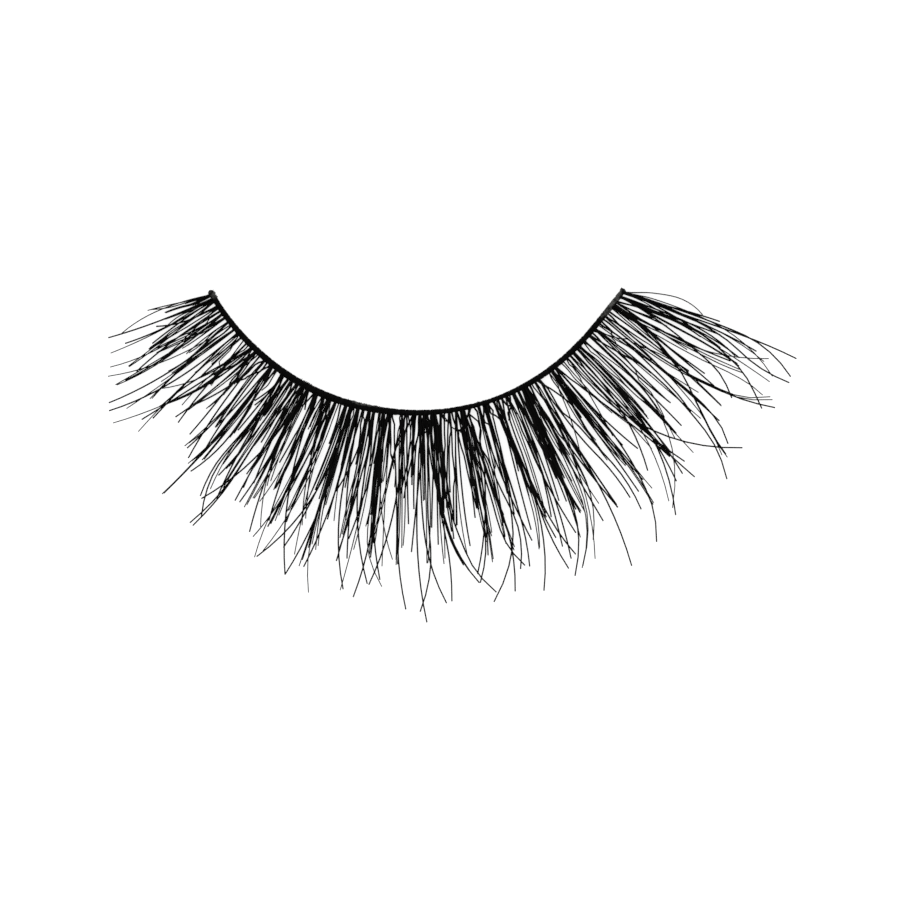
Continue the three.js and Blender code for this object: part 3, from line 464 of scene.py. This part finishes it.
# Share of each hair at a distance out: between its four points runs a cubic whose slope at an inner
# point is the slope of the parabola through that point and its two neighbours
def shareAt(rows, out):
    outs = np.stack([rootOut(rows), rows[:, 2], rows[:, 4], rows[:, 6]], axis=1)
    shares = rows[:, [0, 1, 3, 5]]
    gap = np.diff(outs, axis=1)
    rise = np.diff(shares, axis=1) / gap
    inner = (rise[:, :-1] * gap[:, 1:] + rise[:, 1:] * gap[:, :-1]) / (gap[:, 1:] + gap[:, :-1])
    slope = np.column_stack([2 * rise[:, 0] - inner[:, 0], inner, 2 * rise[:, 2] - inner[:, 1]])
    span = (out > outs[:, 1:2]).astype(int) + (out > outs[:, 2:3])
    take = np.take_along_axis
    width = take(gap, span, 1)
    u = (out - take(outs, span, 1)) / width
    low, high = take(shares, span, 1), take(shares, span + 1, 1)
    lowSlope, highSlope = take(slope, span, 1) * width, take(slope, span + 1, 1) * width
    return (low * (1 + 2 * u) * (1 - u) ** 2 + high * u ** 2 * (3 - 2 * u)
            + lowSlope * u * (1 - u) ** 2 + highSlope * u ** 2 * (u - 1))


# Hairs give way to the openings: each keeps to the side on which it passes the opening's middle, and
# beside it stays outside an ellipse, half width times the root of one minus height squared
def giveWay(rows, share, out):
    for middle, middleOut, halfWidth, halfHeight in openingChart:
        passing = shareAt(rows, np.minimum(middleOut, rows[:, 6:7]))
        side = np.where(passing >= middle, 1.0, -1.0)
        height = (out - middleOut) / halfHeight
        limit = halfWidth * np.sqrt(np.maximum(0.0, 1 - height ** 2))
        beyond = limit - side * (share - middle)
        reaches = rows[:, 6:7] > middleOut - halfHeight
        share = share + side * np.where(reaches & (np.abs(height) < 1) & (beyond > 0), beyond, 0.0)
    for _ in range(2):
        share[:, 1:-1] = share[:, 1:-1] * 0.5 + (share[:, :-2] + share[:, 2:]) * 0.25
    return share


# Roots are gathered into tufts: the pull towards the nearest tuft fades as a bell curve of how far out
def gatherRoots(share, out):
    nearest = tufts[np.argmin(np.abs(share[:, :1] - tufts), axis=1)][:, None]
    return share + hair["tuftPull"] * (nearest - share[:, :1]) * np.exp(-(out / hair["tuftReach"]) ** 2)


# Paths of the hairs, and how far out their stations are: these crowd towards the root, and height
# comes from the curl
def hairPaths(rows, levels):
    t = np.linspace(0, 1, hair["samples"])[None, :] ** hair["rootCrowding"]
    start = rootOut(rows)[:, None]
    out = start + (rows[:, 6:7] - start) * t
    share = giveWay(rows, gatherRoots(shareAt(rows, out), out), out)
    step = (hair["samples"] - 1) // (hair["stations"] - 1)
    share, out = share[:, ::step], out[:, ::step]
    x, y = planPoint(share / 1000, out)
    z = curlHeight(out) + levels[:, None]
    return np.stack([x, y, z], axis=-1), out


# The hairs of one tier: their radius swells as a bell curve at the root and thins by a power at the tip
def makeHairs(name, rows, levelRange, node):
    levels = rng.uniform(*levelRange, len(rows))
    t = np.linspace(0, 1, hair["stations"])[None, :]
    paths, out = hairPaths(rows, levels)
    swell = 1 + hair["rootSwell"] * np.exp(-(out / hair["rootSwellReach"]) ** 2) - hair["tipTaper"] * t ** 5
    radius = hair["radius"] * rows[:, 7:8] * swell
    points, faces, caps = tubeRings(paths, radius, hair["sides"], np.array([0.0, 0.0, 1.0]))
    rings = hair["stations"] * hair["sides"]
    toneAndPaintedShade = np.repeat(rng.uniform(0, 1, len(rows)), rings)
    piece = makePiece(name, points, faces, caps, {"toneAndPaintedShade": toneAndPaintedShade})
    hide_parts(node)
    return piece


print("hairs")
tufts = np.arange(hair["firstTuft"], 1000, hair["tuftSpacing"])
tufts = tufts + rng.uniform(-hair["tuftUneven"], hair["tuftUneven"], len(tufts)) * hair["tuftSpacing"]
hairRows = spreadHairs()
isUnder = hairRows[:, 6] < hair["underReach"]
upperHairs = makeHairs("upper_hairs", hairRows[~isUnder], hair["upperLevels"], "upper_lashes")
underHairs = makeHairs("under_hairs", hairRows[isUnder], hair["underLevels"], "under_lashes")

# Amount of glue: a smooth hump about each charted share, fading from the back of the band forwards
def glueAmount(share, out):
    amount = np.zeros_like(share)
    for middle, halfSpan, most, cover in glueChart:
        hump = np.clip(1 - ((share - middle) / halfSpan) ** 2, 0, 1)
        back = np.clip((glueFade["from"] - out) / glueFade["over"] + glueFade["reach"] * cover, 0, 1)
        amount = np.maximum(amount, most * np.sqrt(hump) * back)
    return amount


# The swelling at the right end is a bell curve along the band
def endSwelling(share):
    return np.exp(-((share - thread["endKnotShare"]) / thread["endKnotSpan"]) ** 2)


# The thread: round a share stands an ellipse, its radius rippled by the cosine of twice the angle
# less the twist, swollen at the end knot and rounded shut at both ends
def makeThread():
    share = np.linspace(thread["leftEnd"], thread["rightEnd"], thread["stations"])[:, None]
    angle = (np.arange(thread["sides"]) * 2 * math.pi / thread["sides"])[None, :]
    distance = share * band["length"]
    twist = 2 * math.pi * distance / thread["pitch"]
    ripple = 1 - thread["ply"] * (0.5 - 0.5 * np.cos(2 * (angle - twist)))
    knot = thread["endKnot"] * endSwelling(share)
    ends = np.minimum(share - thread["leftEnd"], thread["rightEnd"] - share) * band["length"]
    halfWidth = threadHalfWidth(share)
    closing = np.sqrt(np.clip(1 - (1 - np.clip(ends / halfWidth, 0.004, 1)) ** 2, 0, 1))
    size = ripple * (1 + knot) * closing
    out = threadOut(share) + halfWidth * size * np.cos(angle)
    z = thread["middleHeight"] + thread["halfHeight"] * size * np.sin(angle)
    x, y = planPoint(share + 0 * angle, out)
    points = np.stack([x, y, z], axis=-1).reshape(-1, 3)
    rows, sides = thread["stations"], thread["sides"]
    station = np.arange(rows - 1)[:, None] * sides
    side = np.arange(sides)[None, :]
    after = (side + 1) % sides
    quads = np.stack([station + side, station + sides + side, station + sides + after, station + after],
                     axis=-1).reshape(-1, 4)
    caps = [list(range(sides)), list(range((rows - 1) * sides, rows * sides))[::-1]]
    # Painted shade: the colour mark runs from darkest in the grooves between the two plies to lightest on
    # their crowns, following the twist
    toneAndPaintedShade = 0.5 + 0.5 * np.cos(2 * (angle - twist))
    glue = glueAmount(np.broadcast_to(share, out.shape), out)
    piece = makePiece("band_thread", points, quads.tolist() + caps, 2, {"toneAndPaintedShade": toneAndPaintedShade, "glue": glue})
    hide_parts("band")
    return piece


# Each root is tied round the thread in one loop of its own hair. Where glue stays, some cut ends
# stand out behind
knots = {
    "radius": 0.027,       # mm
    "fit": 0.96,           # half width of a loop as a share of the thread's
    "halfHeight": 0.205,
    "skew": 0.11,          # how far a loop leans along the band
    "stations": 9,
    "sides": 4,
    "tailReach": (0.0, 0.05),
    "tailRadius": 0.02,
    "tailStations": 3,
    "tailDepth": 0.08,     # how far inside the thread a tail starts
    "tailLean": 0.0018,
    "tailHeights": (0.08, 0.36),
    "tailTilt": 0.04,
    "cutShare": 0.8,       # share of the roots with a tail where the glue is thickest
    "turn": (-75, 285),    # degrees of the loop round the thread
    "uneven": 0.02,
    "endSwell": 0.22,
    "extra": 150,          # loops that carry no hair of the charts
}


# The loops: each follows the thread's ellipse, leaning evenly along the band as it turns, and the
# tails are short straight tubes
def makeKnots(rootShares):
    count = len(rootShares)
    turn = np.linspace(*np.radians(knots["turn"]), knots["stations"])[None, :]
    size = (1 + rng.uniform(-knots["uneven"], knots["uneven"], count))[:, None]
    swell = 1 + knots["endSwell"] * endSwelling(rootShares[:, None])
    lean = rng.uniform(0.4, 1, count)[:, None] * knots["skew"] * np.linspace(-0.5, 0.5, knots["stations"])
    share = rootShares[:, None] + lean / band["length"]
    out = threadOut(share) + knots["fit"] * threadHalfWidth(share) * size * swell * np.cos(turn)
    x, y = planPoint(share, out)
    z = thread["middleHeight"] + knots["halfHeight"] * size * np.sin(turn)
    loops = np.stack([x, y, z], axis=-1)
    radius = np.full(loops.shape[:2], knots["radius"])
    points, faces, caps = tubeRings(loops, radius, knots["sides"], bandDirection(share))
    glue = np.repeat(glueAmount(share, out), knots["sides"])
    toneAndPaintedShade = np.repeat(rng.uniform(0, 1, count), knots["stations"] * knots["sides"])

    glued = glueAmount(rootShares, -band["width"]) * knots["cutShare"]
    cut = rootShares[rng.uniform(0, 1, count) < glued]
    t = np.linspace(0, 1, knots["tailStations"])[None, :]
    reach = rng.uniform(*knots["tailReach"], len(cut))[:, None]
    tailOut = -band["width"] + knots["tailDepth"] - (reach + knots["tailDepth"]) * t
    tailShare = cut[:, None] + rng.normal(0, knots["tailLean"], len(cut))[:, None] * t
    tailX, tailY = planPoint(tailShare, tailOut)
    tailZ = rng.uniform(*knots["tailHeights"], len(cut))[:, None]
    tailZ = tailZ + rng.uniform(-knots["tailTilt"], knots["tailTilt"], len(cut))[:, None] * t
    tails = np.stack([tailX, tailY, tailZ], axis=-1)
    tailRadius = np.full(tails.shape[:2], knots["tailRadius"])
    tailPoints, tailFaces, tailCaps = tubeRings(tails, tailRadius, knots["sides"], np.array([0.0, 0.0, 1.0]))
    shifted = [[corner + len(points) for corner in face] for face in tailFaces]
    rings = knots["tailStations"] * knots["sides"]
    allFaces = faces[:-caps] + shifted[:-tailCaps] + faces[-caps:] + shifted[-tailCaps:]
    marks = {
        "toneAndPaintedShade": np.concatenate([toneAndPaintedShade, np.repeat(rng.uniform(0, 1, len(cut)), rings)]),
        "glue": np.concatenate([glue, np.repeat(glueAmount(tailShare, tailOut), knots["sides"])]),
    }
    piece = makePiece("band_knots", np.concatenate([points, tailPoints]), allFaces, caps + tailCaps, marks)
    return piece


print("band")
bandThread = makeThread()
extraKnots = rng.uniform(thread["leftEnd"], thread["rightEnd"], knots["extra"])
bandKnots = makeKnots(np.clip(np.concatenate([hairRows[:, 0] / 1000, extraKnots]), 0.0005, 0.9995))


# A node group with its named inputs (label, kind, starting value) and outputs (label, kind)
def startGroup(name, inputs, outputs):
    group = bpy.data.node_groups.new(name, "ShaderNodeTree")
    for label, kind, value in inputs:
        socket = group.interface.new_socket(label, in_out="INPUT", socket_type=kind)
        socket.default_value = value
    for label, kind in outputs:
        group.interface.new_socket(label, in_out="OUTPUT", socket_type=kind)
    return group, group.nodes.new("NodeGroupInput"), group.nodes.new("NodeGroupOutput")


def addNoise(tree, position, scale, detail):
    noise = tree.nodes.new("ShaderNodeTexNoise")
    noise.inputs["Scale"].default_value = scale
    noise.inputs["Detail"].default_value = detail
    tree.links.new(position, noise.inputs["Vector"])
    return noise.outputs["Fac"]


# One math node: each of its values is a number or comes from another node
def addMath(tree, operation, first, second, third=None):
    node = tree.nodes.new("ShaderNodeMath")
    node.operation = operation
    for socket, value in zip(node.inputs, (first, second, third)):
        if value is None:
            continue
        if isinstance(value, (int, float)):
            socket.default_value = value
        else:
            tree.links.new(value, socket)
    return node.outputs[0]


def addMix(tree, kind, factor, first, second):
    node = tree.nodes.new("ShaderNodeMix")
    node.data_type = kind
    names = {"RGBA": (6, 7, 2), "FLOAT": (2, 3, 0)}[kind]
    tree.links.new(factor, node.inputs[0])
    for place, value in zip(names[:2], (first, second)):
        if isinstance(value, (int, float, tuple)):
            node.inputs[place].default_value = value
        else:
            tree.links.new(value, node.inputs[place])
    return node.outputs[names[2]]


# Uneven black of a synthetic fibre: hair by hair from the tone mark, and cloudy along each hair. On the
# thread that mark is painted shade: darker in the grooves between the plies, lighter on their crowns
def fibreShadeGroup():
    group, given, result = startGroup(
        "fibreShade",
        [("Position", "NodeSocketVector", (0, 0, 0)), ("ToneAndPaintedShade", "NodeSocketFloat", 0.5),
         ("Dark", "NodeSocketColor", (0, 0, 0, 1)), ("Light", "NodeSocketColor", (0.01, 0.01, 0.01, 1)),
         ("Smoothest", "NodeSocketFloat", 0.36), ("Roughest", "NodeSocketFloat", 0.52)],
        [("Colour", "NodeSocketColor"), ("Roughness", "NodeSocketFloat"), ("Height", "NodeSocketFloat")])
    cloudy = addNoise(group, given.outputs["Position"], 900, 3)
    grain = addNoise(group, given.outputs["Position"], 24000, 2)
    clouds = addMath(group, "MULTIPLY", cloudy, 0.4)
    toned = addMath(group, "MULTIPLY_ADD", given.outputs["ToneAndPaintedShade"], 0.6, clouds)
    colour = addMix(group, "RGBA", toned, given.outputs["Dark"], given.outputs["Light"])
    rough = addMix(group, "FLOAT", cloudy, given.outputs["Smoothest"], given.outputs["Roughest"])
    group.links.new(colour, result.inputs["Colour"])
    group.links.new(rough, result.inputs["Roughness"])
    group.links.new(grain, result.inputs["Height"])
    return group


# Film of dried glue: the glue mark, broken into patches by a noise, sets how far colour and roughness
# go over to those of the film
def glueFilmGroup():
    group, given, result = startGroup(
        "glueFilm",
        [("Position", "NodeSocketVector", (0, 0, 0)), ("Glue", "NodeSocketFloat", 0.0),
         ("Colour", "NodeSocketColor", (0, 0, 0, 1)), ("Roughness", "NodeSocketFloat", 0.5),
         ("Film Colour", "NodeSocketColor", (0.1, 0.1, 0.095, 1)),
         ("Film Roughness", "NodeSocketFloat", 0.3)],
        [("Colour", "NodeSocketColor"), ("Roughness", "NodeSocketFloat")])
    patchy = addNoise(group, given.outputs["Position"], 4200, 4)
    patches = addMath(group, "MULTIPLY", patchy, 1.8)
    raised = addMath(group, "MULTIPLY_ADD", given.outputs["Glue"], 1.1, patches)
    mask = group.nodes.new("ShaderNodeMapRange")
    mask.interpolation_type = "SMOOTHSTEP"
    mask.inputs["From Min"].default_value = 1.45
    mask.inputs["From Max"].default_value = 2.3
    mask.inputs["To Max"].default_value = 0.85
    group.links.new(raised, mask.inputs["Value"])
    colour = addMix(group, "RGBA", mask.outputs["Result"], given.outputs["Colour"],
                    given.outputs["Film Colour"])
    rough = addMix(group, "FLOAT", mask.outputs["Result"], given.outputs["Roughness"],
                   given.outputs["Film Roughness"])
    group.links.new(colour, result.inputs["Colour"])
    group.links.new(rough, result.inputs["Roughness"])
    return group


fibreShade = fibreShadeGroup()
glueFilm = glueFilmGroup()

finishes = {
    "blackFibre": {"dark": (0.0005, 0.0004, 0.0004, 1), "light": (0.0018, 0.0015, 0.0014, 1),
                   "rough": (0.36, 0.52), "bump": 0.25, "glued": False},
    "blackThread": {"dark": (0.0005, 0.0005, 0.0005, 1), "light": (0.0026, 0.0024, 0.0023, 1),
                    "rough": (0.55, 0.75), "bump": 0.5, "glued": True},
}


# Black fibre or thread: colour from the group, which on the thread holds painted shade in the grooves
# between the plies, a film of glue where the finish has one, fine bump
def makeFinish(name):
    finish = finishes[name]
    material = bpy.data.materials.new(name)
    material.use_nodes = True
    tree = material.node_tree
    shader = tree.nodes["Principled BSDF"]
    shader.inputs["Specular IOR Level"].default_value = 0.04
    position = tree.nodes.new("ShaderNodeTexCoord").outputs["Object"]
    # The tone mark: random tone on hairs and loops, painted shade in the ply grooves on the thread
    toneAndPaintedShade = tree.nodes.new("ShaderNodeAttribute")
    toneAndPaintedShade.attribute_name = "toneAndPaintedShade"
    shade = tree.nodes.new("ShaderNodeGroup")
    shade.node_tree = fibreShade
    shade.inputs["Dark"].default_value = finish["dark"]
    shade.inputs["Light"].default_value = finish["light"]
    shade.inputs["Smoothest"].default_value, shade.inputs["Roughest"].default_value = finish["rough"]
    tree.links.new(position, shade.inputs["Position"])
    tree.links.new(toneAndPaintedShade.outputs["Fac"], shade.inputs["ToneAndPaintedShade"])
    outcome = shade
    if finish["glued"]:
        glue = tree.nodes.new("ShaderNodeAttribute")
        glue.attribute_name = "glue"
        outcome = tree.nodes.new("ShaderNodeGroup")
        outcome.node_tree = glueFilm
        tree.links.new(position, outcome.inputs["Position"])
        tree.links.new(glue.outputs["Fac"], outcome.inputs["Glue"])
        tree.links.new(shade.outputs["Colour"], outcome.inputs["Colour"])
        tree.links.new(shade.outputs["Roughness"], outcome.inputs["Roughness"])
    bump = tree.nodes.new("ShaderNodeBump")
    bump.inputs["Strength"].default_value = finish["bump"]
    bump.inputs["Distance"].default_value = 0.004 * mm
    tree.links.new(shade.outputs["Height"], bump.inputs["Height"])
    tree.links.new(outcome.outputs["Colour"], shader.inputs["Base Color"])
    tree.links.new(outcome.outputs["Roughness"], shader.inputs["Roughness"])
    tree.links.new(bump.outputs["Normal"], shader.inputs["Normal"])
    return material


print("finishes")
blackFibre = makeFinish("blackFibre")
blackThread = makeFinish("blackThread")
for piece in (upperHairs, underHairs):
    piece.data.materials.append(blackFibre)
for piece in (bandThread, bandKnots):
    piece.data.materials.append(blackThread)


print("floor and light")
studio = {"floorSize": 600.0, "paper": 0.3, "glow": 0.76, "air": 1.0, "lampSize": 0.5, "lampEnergy": 1.2}
half = studio["floorSize"] / 2 * mm
floorMesh = bpy.data.meshes.new("floor")
floorMesh.from_pydata([(-half, -half, 0), (half, -half, 0), (half, half, 0), (-half, half, 0)], [],
                      [(0, 1, 2, 3)])
floor = bpy.data.objects.new("floor", floorMesh)
bpy.context.scene.collection.objects.link(floor)
paper = bpy.data.materials.new("whitePaper")
paper.use_nodes = True
sheet = paper.node_tree.nodes["Principled BSDF"]
sheet.inputs["Base Color"].default_value = (*[studio["paper"]] * 3, 1)
sheet.inputs["Roughness"].default_value = 0.9
sheet.inputs["Emission Color"].default_value = (1, 1, 1, 1)  # lit from below, as on a light table
sheet.inputs["Emission Strength"].default_value = studio["glow"]
floorMesh.materials.append(paper)

air = bpy.data.worlds.new("studio_air")
air.use_nodes = True
air.node_tree.nodes["Background"].inputs["Color"].default_value = (1, 1, 1, 1)
air.node_tree.nodes["Background"].inputs["Strength"].default_value = studio["air"]
bpy.context.scene.world = air
bpy.context.scene.view_settings.view_transform = "Standard"
lamp = bpy.data.lights.new("soft_lamp", "AREA")
lamp.size = studio["lampSize"]
lamp.energy = studio["lampEnergy"]
lampObject = bpy.data.objects.new("soft_lamp", lamp)
lampObject.location = (-0.15, 0.25, 0.6)
lampObject.rotation_euler = (math.radians(-22), math.radians(-14), 0)
bpy.context.scene.collection.objects.link(lampObject)
